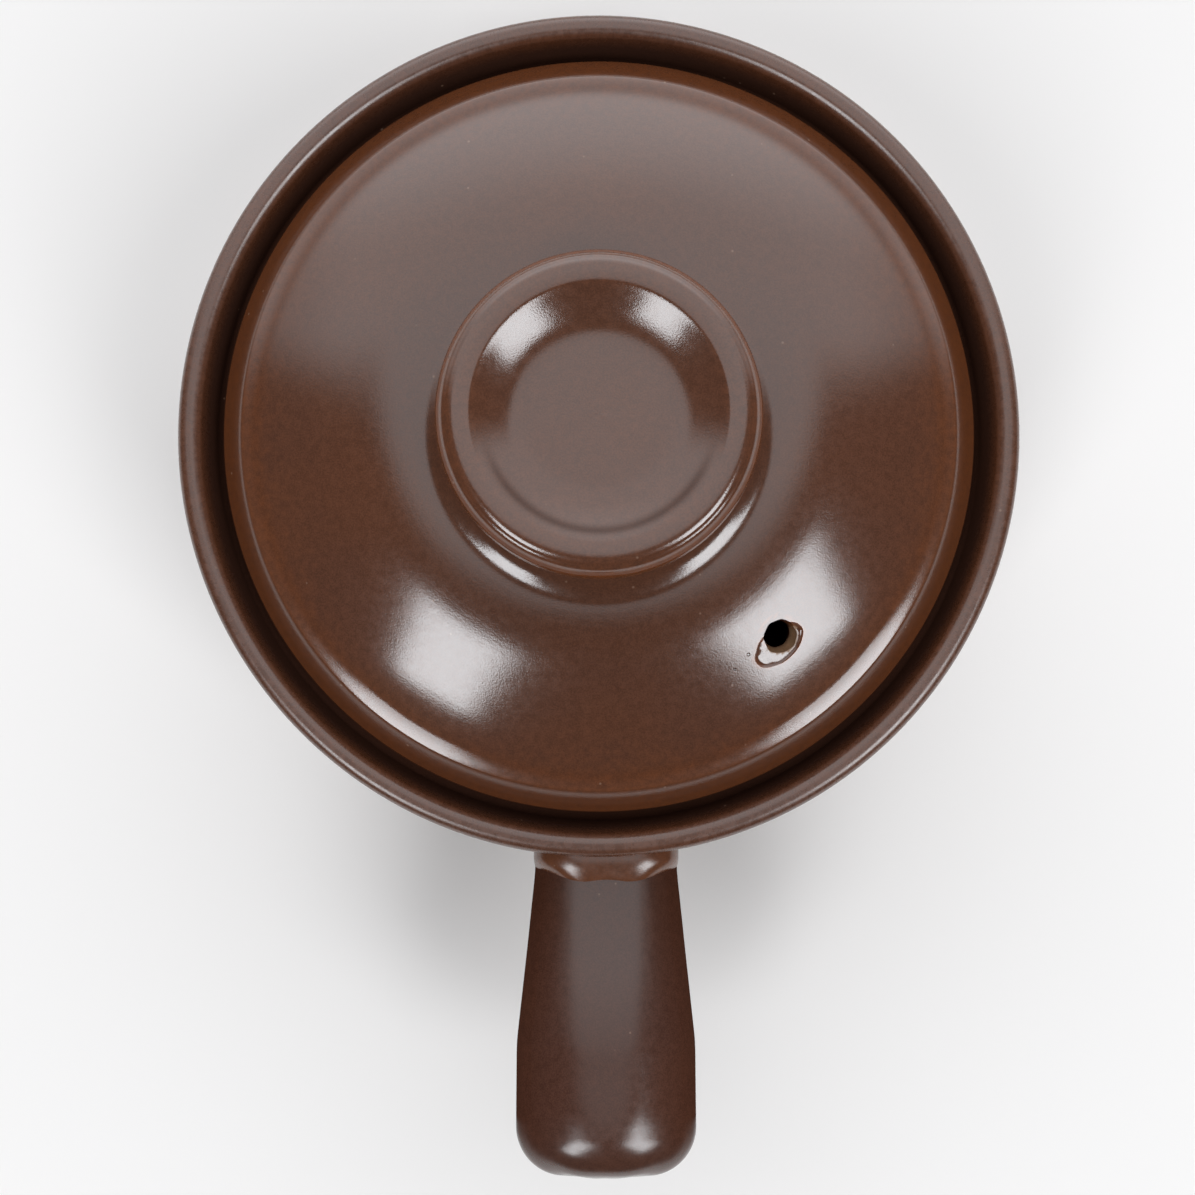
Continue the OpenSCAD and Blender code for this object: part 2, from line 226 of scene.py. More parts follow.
class GlazeLooks(bpy.types.PropertyGroup):
    """Colours and finish of the glaze and the clay."""

    base: colour("Glaze", "Colour of the full glaze", 87, 52, 35)
    warm: colour("Warm Glaze", "Colour where the glaze runs warmer", 98, 56, 32)
    thin: colour("Thin Glaze", "Colour where the glaze thins on an edge", 116, 62, 28)
    handle: colour("Handle Glaze", "Colour of the glaze on the handle", 74, 45, 34)
    clay: colour("Clay", "Colour of the bare clay", 178, 142, 108)
    clay_dark: colour("Dark Clay", "Colour of the bare clay's darker grain", 153.4, 123.5, 93.4)
    # Painted shade: the dark colour laid into gaps, hollows, pinholes and shaded sides, where shade
    # falls.
    pool: colour("Painted Shade", "Colour where the glaze pools thickly", 46, 29, 24)
    speck: colour("Specks", "Colour of the small pale specks", 150, 118, 98)
    roughness: share("Roughness", "Roughness of the glaze", 0.135)
    grain: length("Grain", "Height of the glaze's fine grain", 0.0105)
    grain_size: length("Grain Size", "Size of the fine grain", 0.33)
    peel: length("Orange Peel", "Height of the glaze's slow ripple", 0.006)
    peel_size: length("Orange Peel Size", "Size of the slow ripple", 6)
    cloud_size: length("Patch Size", "Size of the warmer patches", 30)
    mottle_size: length("Mottle Size", "Size of the mottled spots", 1.6)
    speck_apart: length("Speck Spacing", "Spacing of the small pale specks", 3.4)
    pit_apart: length("Pinhole Spacing", "Spacing of the pinholes", 12)
    pit_depth: length("Pinhole Depth", "Depth of a pinhole", 0.06)


class StudioSetup(bpy.types.PropertyGroup):
    """Camera, lamps and surroundings."""

    camera_h: length("Camera", "Height of the camera above the table", 409.2)
    camera_y: length("Camera Place", "Place of the camera along the handle", -34.45)
    lens: FloatProperty(name="Lens", description="Focal length", default=45.0, unit="CAMERA")
    lamp_away: length("Lamp Distance", "Distance of the lamps from the lid", 3000)
    lamp_light: share("Lamp Light", "Brightness of the two lamps", 7.6, 50.0)
    top_light: share("Top Light", "Brightness of the ceiling overhead", 1.05, 50.0)
    back_light: share("Back Light", "Brightness of the white ceiling behind", 1.2, 50.0)
    wall_light: share("Wall Light", "Brightness of the white wall behind", 2.0, 50.0)
    front_light: share("Front Light", "Brightness of the dark room in front", 0.08, 50.0)
    low_light: share("Low Light", "Brightness near the horizon", 0.32, 50.0)
    table: colour("Table", "Colour of the pale table", 250, 246, 243)
    columns: IntProperty(
        name="Columns", description="Faces round a turned piece", default=240, min=48
    )


def unit(v):
    """The same direction, one long."""
    return v / np.linalg.norm(v)


def arc(middle, radius, start, end, step=4.0):
    """Points along an arc, by angles in degrees."""
    count = max(1, math.ceil(abs(end - start) / step))
    turns = np.radians(np.linspace(start, end, count + 1))
    return np.array(middle) + radius * np.c_[np.cos(turns), np.sin(turns)]


def rounded(corners):
    """Draws every round of a half outline whose corners are (radius, height, round)."""
    p = np.array([c[:2] for c in corners], float)
    rounds = [c[2] if len(c) > 2 else 0.0 for c in corners]
    n = len(p)
    to_last = [unit(p[i - 1] - p[i]) for i in range(n)]
    to_next = [unit(p[(i + 1) % n] - p[i]) for i in range(n)]
    half = [math.acos(max(-1.0, min(1.0, float(to_last[i] @ to_next[i])))) / 2 for i in range(n)]
    need = [rounds[i] / math.tan(half[i]) if rounds[i] > 0 else 0.0 for i in range(n)]

    def room(i, j):
        total = need[i] + need[j]
        return min(1.0, 0.99 * np.linalg.norm(p[i] - p[j]) / total) if total > 0 else 1.0

    points = []
    for i in range(n):
        if rounds[i] <= 0:
            points.append(p[i : i + 1])
            continue
        j = (i + 1) % n
        r = rounds[i] * min(room(i - 1, i), room(i, j))
        middle = p[i] + unit(to_last[i] + to_next[i]) * r / math.sin(half[i])
        first = p[i] + to_last[i] * r / math.tan(half[i]) - middle
        start = math.degrees(math.atan2(first[1], first[0]))
        turn = 180 - 2 * math.degrees(half[i])
        side = -1 if to_last[i][0] * to_next[i][1] > to_last[i][1] * to_next[i][0] else 1
        points.append(arc(middle, r, start, start + side * turn))
    return np.vstack(points)


class Outline:
    """A half outline in even small steps, with its outward direction and its bend at each point."""

    def __init__(self, points, spacing=0.001):
        steps = [points[:1]]
        for a, b in zip(points[:-1], points[1:]):
            count = max(1, math.ceil(np.linalg.norm(b - a) / spacing))
            if np.linalg.norm(b - a) > 1e-7:
                steps.append(a + (b - a) * np.linspace(0, 1, count + 1)[1:, None])
        self.points = np.vstack(steps)
        way = np.diff(self.points, axis=0)
        far = np.linalg.norm(way, axis=1)
        way /= far[:, None]
        mean = np.vstack([way[:1], way[:-1] + way[1:], way[-1:]])
        mean /= np.linalg.norm(mean, axis=1)[:, None]
        self.out = np.c_[mean[:, 1], -mean[:, 0]]
        self.along = np.r_[0.0, np.cumsum(far)]
        cross = way[:-1, 0] * way[1:, 1] - way[:-1, 1] * way[1:, 0]
        self.bend = np.r_[0.0, np.arcsin(np.clip(cross, -1, 1)) / ((far[:-1] + far[1:]) / 2), 0.0]

    def blend(self, values, width):
        """Values along the outline, each blended with its neighbours."""
        near = np.exp(-0.5 * ((self.along[:, None] - self.along[None, :]) / width) ** 2)
        return (near / near.sum(1)[:, None]) @ values

    def softened(self, width, weight):
        """The points with their corners worn round, by a weight from 0 to 1 at each point."""
        return self.points + weight[:, None] * (self.blend(self.points, width) - self.points)

    def edges(self, width=0.0007, low=150.0, high=700.0):
        """How far the glaze has run off each point: 1 on a sharp outer edge, 0 on a flat."""
        return soft_step(low, high, self.blend(self.bend, width))


def soft_step(low, high, value):
    """Rises smoothly from 0 at low to 1 at high."""
    t = np.clip((value - low) / (high - low), 0, 1)
    return t * t * (3 - 2 * t)


def hump(value, middle, width):
    """Rises smoothly to 1 at the middle and falls away on both sides."""
    return np.exp(-(((value - middle) / width) ** 2))


def angles(columns):
    """The angle of each column round a turned piece."""
    return np.arange(columns) * TURN / columns


def waver(columns, size, seed, orders=(2, 3, 5, 7)):
    """Slow unevenness round a thrown piece, from 0 inward to size."""
    random = np.random.default_rng(seed)
    wave = np.zeros(columns)
    for k in orders:
        height = random.uniform(0.4, 1) / k
        wave += height * np.cos(k * angles(columns) + random.uniform(0, TURN))
    return -size * (wave.max() - wave) / np.ptp(wave)


def lumps(outline, columns, size, seed, wave=0.02, count=14):
    """Shallow lumps over a thrown piece, as an array of outline points by columns."""
    random = np.random.default_rng(seed)
    total = np.zeros((len(outline.along), columns))
    for _ in range(count):
        k = int(random.integers(1, 9))
        pace = random.uniform(0.2, 1) * TURN / wave
        phase = outline.along[:, None] * pace + k * angles(columns)[None, :]
        total += np.cos(phase + random.uniform(0, TURN))
    return size * total / np.abs(total).max()


def throwing_rings(outline, columns, apart):
    """The spiral that a potter's fingers leave, from -1 to 1."""
    return np.sin(TURN * (outline.along[:, None] / apart + angles(columns)[None, :] / TURN))


def put(name, data):
    """Puts a piece in the scene, in place of one of the same name from an earlier run."""
    old = bpy.data.objects.get(name)
    if old is not None:
        bpy.data.objects.remove(old, do_unlink=True)
    made = bpy.data.objects.new(name, data)
    bpy.context.scene.collection.objects.link(made)
    return made


def lathe(name, outline, columns, press=0.0, closed=False, **facts):
    """Turns a half outline round Z. Press moves each point along its outward direction."""
    n = len(outline.points)
    press = np.broadcast_to(np.asarray(press, float), (n, columns))
    facts = {k: v[:, None] if np.ndim(v) == 1 else v for k, v in facts.items()}
    facts = {k: np.broadcast_to(v, (n, columns)) for k, v in facts.items()}
    angle = angles(columns)
    radius = outline.points[:, :1] + outline.out[:, :1] * press
    height = outline.points[:, 1:] + outline.out[:, 1:] * press
    places = np.stack([radius * np.cos(angle), radius * np.sin(angle), height], axis=2)
    tips = [] if closed else [i for i in (0, n - 1) if outline.points[i, 0] < 1e-6]
    rings = [i for i in range(n) if i not in tips]
    verts = places[rings].reshape(-1, 3)
    values = {k: v[rings].reshape(-1) for k, v in facts.items()}
    across = (np.arange(columns) + 1) % columns
    faces = []
    rows = list(range(len(rings) - 1)) + ([len(rings) - 1] if closed else [])
    for row in rows:
        a = row * columns + np.arange(columns)
        b = row * columns + across
        c = ((row + 1) % len(rings)) * columns + across
        d = ((row + 1) % len(rings)) * columns + np.arange(columns)
        faces += np.stack([a, b, c, d], axis=1).tolist()
    for tip in tips:
        middle = len(verts)
        verts = np.vstack([verts, [[0, 0, height[tip].mean()]]])
        values = {k: np.r_[v, facts[k][tip].mean()] for k, v in values.items()}
        base = 0 if tip == 0 else (len(rings) - 1) * columns
        for i in range(columns):
            pair = (base + i, base + int(across[i]))
            faces.append([middle, pair[1], pair[0]] if tip == 0 else [middle, pair[0], pair[1]])
    mesh = bpy.data.meshes.new(name)
    mesh.from_pydata(verts.tolist(), [], faces)
    mesh.update()
    for key, value in values.items():
        fact = mesh.attributes.new(key, "FLOAT", "POINT")
        fact.data.foreach_set("value", np.ascontiguousarray(value, float))
    mesh.polygons.foreach_set("use_smooth", np.ones(len(mesh.polygons), bool))
    return put(name, mesh)


def cut(piece, cutter):
    """Cuts one piece out of another for good."""
    change = piece.modifiers.new("hole", "BOOLEAN")
    change.operation = "DIFFERENCE"
    change.solver = "EXACT"
    change.object = cutter
    bpy.context.view_layer.update()
    with bpy.context.temp_override(object=piece, active_object=piece, selected_objects=[piece]):
        bpy.ops.object.modifier_apply(modifier=change.name)
    bpy.data.objects.remove(cutter, do_unlink=True)
    piece.data.polygons.foreach_set("use_smooth", np.ones(len(piece.data.polygons), bool))
    piece.data.set_sharp_from_angle(angle=math.radians(38))


def move(piece, matrix):
    """Moves the points of a piece, so that the piece itself stays at the origin."""
    piece.data.transform(matrix)
    piece.data.update()


def places_of(piece):
    """All the points of a piece."""
    flat = np.empty(len(piece.data.vertices) * 3)
    piece.data.vertices.foreach_get("co", flat)
    return flat.reshape(-1, 3)


def raise_fact(piece, key, value):
    """Raises one of a piece's facts to at least a value at each point."""
    data = piece.data.attributes[key].data
    now = np.empty(len(data))
    data.foreach_get("value", now)
    data.foreach_set("value", np.maximum(now, value))


class Forms:
    """Half outlines and places that follow from the sizes."""

    def __init__(self, scene):
        pot, lid, knob, arm = scene.pot_sizes, scene.lid_sizes, scene.knob_sizes, scene.handle_sizes
        self.pot, self.lid, self.knob, self.arm = pot, lid, knob, arm
        self.rim_r = pot.rim_d / 2
        self.belly_r = self.rim_r - pot.belly_in
        self.foot_r = pot.foot_d / 2
        self.foot_in_r = self.foot_r - pot.foot_w
        self.floor_z = pot.foot_recess + pot.floor
        self.lip_in_r = self.rim_r - 2 * pot.lip_r
        self.seat_r = self.lip_in_r - pot.gallery_lean
        self.mouth_r = self.seat_r - pot.ledge_w
        self.seat_z = pot.pot_h - pot.seat_drop
        self.lid_r = self.seat_r - lid.gap
        self.lid_seat_r = self.lid_r - lid.seat_w
        self.crease = (self.lid_r - lid.band_w, self.seat_z + lid.edge_h + lid.band_h)
        self.dome_edge = (
            self.crease[0] - lid.brim_w,
            self.crease[1] + lid.brim_w * math.tan(lid.brim_fall),
        )
        self.dome_mid = (
            self.dome_edge[0] - lid.dome_r * math.sin(lid.dome_slope),
            self.dome_edge[1] - lid.dome_r * math.cos(lid.dome_slope),
        )
        self.flare_start = math.asin((lid.flare_d / 2 - self.dome_mid[0]) / lid.dome_r)
        flare_away = lid.dome_r + lid.flare_round
        self.flare_mid = (
            self.dome_mid[0] + flare_away * math.sin(self.flare_start),
            self.dome_mid[1] + flare_away * math.cos(self.flare_start),
        )
        self.boss_r = self.flare_mid[0] - lid.flare_round * math.sin(lid.flare_slope)
        self.joint_z = self.flare_mid[1] - lid.flare_round * math.cos(lid.flare_slope)
        self.knob_top = self.joint_z + knob.knob_h
        self.dish_z = self.knob_top - knob.dish_depth
        self.bore_r = knob.neck_d / 2 - knob.knob_wall
        self.roof_z = self.dish_z - knob.knob_wall
        self.sink_at = lid.vent_at + lid.sink_shift
        self.flatness = arm.thick / arm.width
        self.arm_length = arm.reach / math.cos(arm.rise)
        self.arm_start = self.belly_r - 0.6 * pot.wall
        self.slip_end = self.belly_r + arm.slip_reach

    def dome_height(self, r):
        """Height of the dome's outer face at a distance from the axis."""
        return self.dome_mid[1] + math.sqrt(self.lid.dome_r**2 - (r - self.dome_mid[0]) ** 2)

    def pot_corners(self):
        """The pot from under its foot, up over the lip and down inside to the floor."""
        pot = self.pot
        inner_r = self.belly_r - pot.wall
        groove = (self.belly_r - pot.groove_depth, pot.pot_h - pot.groove_drop, pot.lip_r)
        under = unit(np.array([self.belly_r - self.foot_r, pot.belly_low - pot.foot_h]))
        inside = np.array([self.foot_r, pot.foot_h]) + pot.wall * np.array([-under[1], under[0]])
        rate = under[1] / under[0]
        ledge_z = self.seat_z - pot.ledge_t
        return [
            (0, pot.foot_recess),
            (self.foot_in_r, pot.foot_recess, pot.foot_edge),
            (self.foot_in_r, 0, pot.foot_edge),
            (self.foot_r, 0, pot.foot_edge),
            (self.foot_r, pot.foot_h, pot.foot_edge),
            (self.belly_r, pot.belly_low, pot.belly_round),
            (self.belly_r, pot.belly_high, pot.belly_round),
            groove,
            (self.rim_r, pot.pot_h - 2 * pot.lip_r, pot.lip_r),
            (self.rim_r, pot.pot_h, pot.lip_r),
            (self.lip_in_r, pot.pot_h, pot.lip_r),
            (self.seat_r, self.seat_z, pot.ledge_round),
            (self.mouth_r, self.seat_z, pot.ledge_round),
            (self.mouth_r, ledge_z, pot.ledge_round),
            (inner_r, ledge_z - pot.ledge_slope, pot.ledge_slope),
            (inner_r, inside[1] + (inner_r - inside[0]) * rate, pot.belly_round - pot.wall),
            (inside[0] + (self.floor_z - inside[1]) / rate, self.floor_z, pot.floor_round),
            (0, self.floor_z),
        ]

    def lid_points(self):
        """The lid from the bore along its hollow, over the edge and up the dome to the boss."""
        lid = self.lid
        slope_deg = math.degrees(lid.dome_slope)
        hollow = arc(self.dome_mid, lid.dome_r - lid.dome_wall, 90, 90 - slope_deg, 2.0)
        start = math.asin((lid.hollow_d / 2 - self.dome_mid[0]) / lid.dome_r)
        away = lid.dome_r + lid.hollow_round
        middle = np.array(self.dome_mid) + away * np.array([math.sin(start), math.cos(start)])
        flat = math.degrees(start)
        dome = arc(self.dome_mid, lid.dome_r, 90 - slope_deg, 90 - flat, 1.0)
        steep = math.degrees(lid.flare_slope)
        flare = arc(middle, lid.hollow_round, -90 - flat, -90 - steep, 2.0)[1:]
        flare = np.vstack([flare, [(self.boss_r, self.joint_z)]])
        edge = [
            (self.lid_seat_r, self.seat_z, lid.edge_round),
            (self.lid_r, self.seat_z, lid.edge_round),
            (self.lid_r, self.seat_z + lid.edge_h, lid.crease_round),
            (*self.crease, lid.crease_round),
        ]
        bore = [(self.bore_r, self.joint_z), (self.bore_r, hollow[0][1], self.knob.bore_round)]
        bore = rounded(bore + [tuple(hollow[0])])[:-1]
        fall = math.tan(lid.brim_flat)
        rate = math.tan(lid.dome_slope)
        brim_w = (rate * lid.brim_w - self.dome_edge[1] + self.crease[1]) / (rate - fall)
        corner = (self.crease[0] - brim_w, self.crease[1] + brim_w * fall)
        turned = rounded([tuple(hollow[-1])] + edge + [corner, tuple(dome[0])])
        return np.vstack([bore, hollow, turned[1:-1], dome, flare])

    def knob_corners(self):
        """The knob from its hollow to its joint, up over the shoulder and into the dish."""
        knob = self.knob
        return [
            (0, self.roof_z),
            (self.bore_r, self.roof_z, knob.roof_round),
            (self.bore_r, self.joint_z),
            (self.boss_r, self.joint_z),
            (knob.neck_d / 2, self.joint_z + knob.neck_h, knob.neck_h),
            (knob.knob_d / 2, self.joint_z + knob.knob_low, knob.swell_round),
            (knob.knob_d / 2, self.knob_top, knob.shoulder_round),
            (knob.dish_d / 2, self.knob_top, knob.dish_lip),
            (knob.dish_d / 2 - knob.step_w, self.knob_top - knob.step_h, knob.step_round),
            (knob.floor_d / 2, self.dish_z, knob.dish_round),
            (0, self.dish_z),
        ]

    def handle_corners(self):
        """The handle along its own middle line, from inside the pot's wall to the tip."""
        arm = self.arm
        return [
            (0, self.arm_start),
            (arm.root_w / 2, self.arm_start),
            (arm.root_w / 2, self.slip_end, arm.width),
            (arm.width / 2, self.arm_length - arm.widest, arm.width),
            (arm.width / 2, self.arm_length - arm.crown, arm.tip_round),
            (0, self.arm_length),
        ]

    def slip_corners(self):
        """The slip round the handle's root: thick at the wall, with a ridge where it ends."""
        arm = self.arm
        root = arm.root_w / 2
        ridge = root + arm.slip_ridge
        return [
            (root - arm.slip_ridge, self.arm_start),
            (root + arm.slip_t, self.arm_start),
            (root + arm.slip_t, self.belly_r, arm.slip_t),
            (ridge, self.slip_end - arm.slip_taper, arm.slip_taper),
            (root + arm.slip_edge, self.slip_end + arm.slip_smear),
            (root - arm.slip_ridge, self.slip_end + arm.slip_smear),
        ]

    def pressed_top(self, along, angle):
        """How far the top is pressed flat, by places along the handle and angles round it."""
        across = np.clip(np.cos(angle) / self.arm.press_w, -1, 1)
        flat = (np.sin(angle) > 0) * (1 - across**2) ** 2
        from_tip = self.arm_length - along
        fade = 0.4 + 0.6 * soft_step(0.03, 0.06, from_tip)
        fade = fade * soft_step(0.009, 0.025, from_tip)
        return self.arm.press * fade[:, None] * flat[None, :]

    def on_handle(self):
        """Stands a piece that was turned round Z on the handle's middle line, and flattens it."""
        arm = self.arm
        drop = self.belly_r * math.tan(arm.rise)
        place = Matrix.Translation((arm.offset, 0, arm.height - drop))
        lean = Matrix.Rotation(math.pi / 2 - arm.rise, 4, "X")
        return place @ lean @ Matrix.Diagonal((1, self.flatness, 1, 1))

    def vent_matrix(self):
        """Stands a piece that was turned round Z upright in the steam vent, on the dome's face."""
        lid = self.lid
        place = Matrix.Translation((lid.vent_at, 0, self.dome_height(lid.vent_at)))
        return Matrix.Rotation(lid.vent_angle, 4, "Z") @ place

    def sink_matrix(self):
        """Stands a piece that was turned round Z in the vent's hollow, square to the dome."""
        tilt = math.asin((self.sink_at - self.dome_mid[0]) / self.lid.dome_r)
        place = Matrix.Translation((self.sink_at, 0, self.dome_height(self.sink_at)))
        return Matrix.Rotation(self.lid.vent_angle, 4, "Z") @ place @ Matrix.Rotation(tilt, 4, "Y")


class Wiring:
    """A few short ways to wire up a material or a world."""

    def __init__(self, owner, coordinates):
        owner.use_nodes = True
        self.tree = owner.node_tree
        self.tree.nodes.clear()
        self.place = self.node("ShaderNodeTexCoord").outputs[coordinates]

    def node(self, kind, **settings):
        made = self.tree.nodes.new(kind)
        for key, value in settings.items():
            setattr(made, key, value)
        return made

    def feed(self, socket, value):
        if isinstance(value, bpy.types.NodeSocket):
            self.tree.links.new(value, socket)
        elif isinstance(value, (int, float)):
            socket.default_value = value
        else:
            socket.default_value = (*value, 1.0)[: len(socket.default_value)]

    def math(self, operation, a, b=0.0, clamp=False):
        made = self.node("ShaderNodeMath", operation=operation, use_clamp=clamp)
        self.feed(made.inputs[0], a)
        self.feed(made.inputs[1], b)
        return made.outputs[0]

    def times(self, a, b):
        return self.math("MULTIPLY", a, b)

    def plus(self, a, b, clamp=False):
        return self.math("ADD", a, b, clamp)

    def between(self, value, low, high, to_low=0.0, to_high=1.0):
        made = self.node("ShaderNodeMapRange", interpolation_type="SMOOTHSTEP")
        for socket, v in zip(made.inputs, (value, low, high, to_low, to_high)):
            self.feed(socket, v)
        return made.outputs[0]

    def mix(self, amount, a, b, blend="MIX"):
        made = self.node("ShaderNodeMix", data_type="RGBA", blend_type=blend)
        self.feed(made.inputs[0], amount)
        self.feed(made.inputs[6], a)
        self.feed(made.inputs[7], b)
        return made.outputs[2]

    def noise(self, size, detail=2.0, rough=0.5):
        made = self.node("ShaderNodeTexNoise")
        self.feed(made.inputs["Vector"], self.place)
        made.inputs["Scale"].default_value = 1 / size
        made.inputs["Detail"].default_value = detail
        made.inputs["Roughness"].default_value = rough
        return made.outputs[0]

    def dots(self, size, chosen):
        """Distance from the middle of scattered dots, and 1 in the chosen share of their cells."""
        made = self.node("ShaderNodeTexVoronoi")
        self.feed(made.inputs["Vector"], self.place)
        made.inputs["Scale"].default_value = 1 / size
        parts = self.node("ShaderNodeSeparateColor")
        self.feed(parts.inputs[0], made.outputs["Color"])
        picked = self.math("LESS_THAN", parts.outputs[0], chosen)
        return made.outputs["Distance"], picked

    def away_from(self, place):
        """Distance from one place on the piece."""
        made = self.node("ShaderNodeVectorMath", operation="DISTANCE")
        self.feed(made.inputs[0], self.place)
        made.inputs[1].default_value = place
        return made.outputs["Value"]

    def fact(self, name):
        made = self.node("ShaderNodeAttribute", attribute_name=name)
        return made.outputs["Fac"]


def fresh_material(name):
    """A new material, in place of one of the same name from an earlier run."""
    old = bpy.data.materials.get(name)
    if old is not None:
        bpy.data.materials.remove(old)
    return bpy.data.materials.new(name)


def glaze(name, looks, base, warm, thinning=1.0, roughness=1.0, shine=1.0, pinholes=()):
    """Glossy brown glaze: it thins on edges, runs warmer in patches, leaves some clay bare, and is
    darkened by painted shade where shade falls.
    """
    made = fresh_material(name)
    s = Wiring(made, "Object")
    thin, bare, pool, matt = (s.fact(key) for key in ("thin", "bare", "pool", "matt"))
    clouds = s.between(s.noise(looks.cloud_size, 3.0), 0.35, 0.7)
    mottle = s.noise(looks.mottle_size, 3.0, 0.6)
    grain = s.noise(looks.grain_size, 1.0, 0.6)
    tone = s.mix(s.times(clouds, 0.35), base, warm)
    shade = s.between(s.plus(s.times(mottle, 0.6), grain), 0.5, 1.1, 0.8, 1.2)
    tone = s.mix(1.0, tone, shade, "MULTIPLY")
    run = s.between(s.plus(s.times(thin, thinning), s.times(mottle, 0.5)), 0.3, 1.2)
    tone = s.mix(run, tone, looks.thin)
    # Painted shade: the colour is darkened where shade falls in gaps, hollows and on shaded sides.
    tone = s.mix(s.times(pool, 0.8), tone, looks.pool)
    far, picked = s.dots(looks.speck_apart, 0.12)
    speck = s.times(s.between(far, 0.04, 0.11, 1.0, 0.0), picked)
    tone = s.mix(s.times(speck, 0.5), tone, looks.speck)
    far, picked = s.dots(looks.pit_apart, 0.06)
    pit = s.times(s.between(far, 0.015, 0.035, 1.0, 0.0), picked)
    for place in pinholes:
        hole = s.between(s.away_from(place), 0.0002, 0.00045, 1.0, 0.0)
        pit = s.math("MAXIMUM", pit, hole)
    # Pinholes and pits are real dents; their dark colour is painted shade inside them.
    tone = s.mix(s.times(pit, 0.6), tone, looks.pool)
    clay_tone = s.mix(s.between(grain, 0.3, 0.7), looks.clay, looks.clay_dark)
    tone = s.mix(bare, tone, clay_tone)
    rough = looks.roughness * roughness
    rough = s.between(mottle, 0.3, 0.7, rough * 0.9, rough * 1.15)
    rough = s.math("MAXIMUM", rough, s.times(bare, 0.85))
    height = s.plus(s.times(grain, looks.grain), s.times(s.noise(looks.peel_size), looks.peel))
    height = s.math("SUBTRACT", height, s.times(pit, looks.pit_depth))
    bump = s.node("ShaderNodeBump")
    bump.inputs["Strength"].default_value = 1.0
    bump.inputs["Distance"].default_value = 1.0
    s.feed(bump.inputs["Height"], height)
    shader = s.node("ShaderNodeBsdfPrincipled")
    s.feed(shader.inputs["Base Color"], tone)
    s.feed(shader.inputs["Roughness"], rough)
    shader.inputs["IOR"].default_value = 1.55
    dull = s.plus(s.math("MAXIMUM", bare, pool), matt, clamp=True)
    bright = s.times(s.math("SUBTRACT", 1.0, dull), 0.9 * shine)
    s.feed(shader.inputs["Specular IOR Level"], bright)
    s.feed(shader.inputs["Normal"], bump.outputs[0])
    out = s.node("ShaderNodeOutputMaterial")
    s.feed(out.inputs["Surface"], shader.outputs[0])
    return made


def settle(piece, body, node, material):
    """Gives a piece its glaze and its place in the frame."""
    piece.data.materials.clear()
    piece.data.materials.append(material)
    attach(piece, body)
    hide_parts(node)


def bench(context):
    """What each step works with: the forms, the glaze's looks and the columns round a piece."""
    scene = context.scene
    return Forms(scene), scene.glaze_looks, scene.studio_setup.columns


class CLAY_OT_pot_body(bpy.types.Operator):
    """Throw the pot with its foot ring, its galleried rim and its ledge"""

    bl_idname = "clay.pot_body"
    bl_label = "Pot Body"

    def execute(self, context):
        forms, looks, columns = bench(context)
        pot = forms.pot
        outline = Outline(rounded(forms.pot_corners()))
        r, z = outline.points.T
        past_rim = outline.along > outline.along[np.argmax(z)]
        inside = past_rim & (z < forms.seat_z - pot.ledge_t)
        # Thrown by hand: uneven but for its foot and its seat, with rings inside.
        free = soft_step(0.002, 0.006, z) * (np.abs(z - forms.seat_z) > 0.0015)
        press = waver(columns, pot.uneven, 3)[None, :]
        press = press + lumps(outline, columns, 0.00003, 4) - 0.00003
        press = free[:, None] * press
        rings = throwing_rings(outline, columns, pot.ring_apart)
        press = press + (inside * soft_step(0.01, 0.03, r))[:, None] * pot.ring_h * rings
        # Bare clay on the foot ring, in its hollow and on the ledge under the lid.
        line = waver(columns, 0.0008, 5, (3, 5, 8, 13))[None, :]
        foot = 1 - soft_step(0.0010, 0.0016, z[:, None] + line)
        hollow = (z < pot.foot_recess + 0.0004) & (r < forms.foot_in_r + 0.001)
        seat = (np.abs(z - forms.seat_z) < 0.0006) & (r < forms.seat_r)
        seat = seat[:, None] * soft_step(0.0008, 0.0016, r[:, None] - forms.mouth_r + line * 0.6)
        seat = seat * (1 - soft_step(-0.0012, -0.0006, r[:, None] - forms.lid_r))
        bare = np.maximum(np.maximum(foot * (z < 0.004)[:, None], hollow[:, None]), seat)
        # Painted shade darkening the gap round the lid.
        gallery = past_rim & (z > forms.seat_z - 0.0008)
        pool = gallery * (1 - soft_step(0.0035, 0.0078, z - forms.seat_z))
        pool = pool * soft_step(-0.002, 0.0, r - forms.lid_r)
        thin = outline.edges() * 0.5
        piece = lathe("pot_body_glazed", outline, columns, press, thin=thin, bare=bare, pool=pool)
        made = glaze("pot glaze", looks, looks.base, looks.warm, 0.5, 2.0)
        settle(piece, "pot", "pot_body", made)
        return {"FINISHED"}


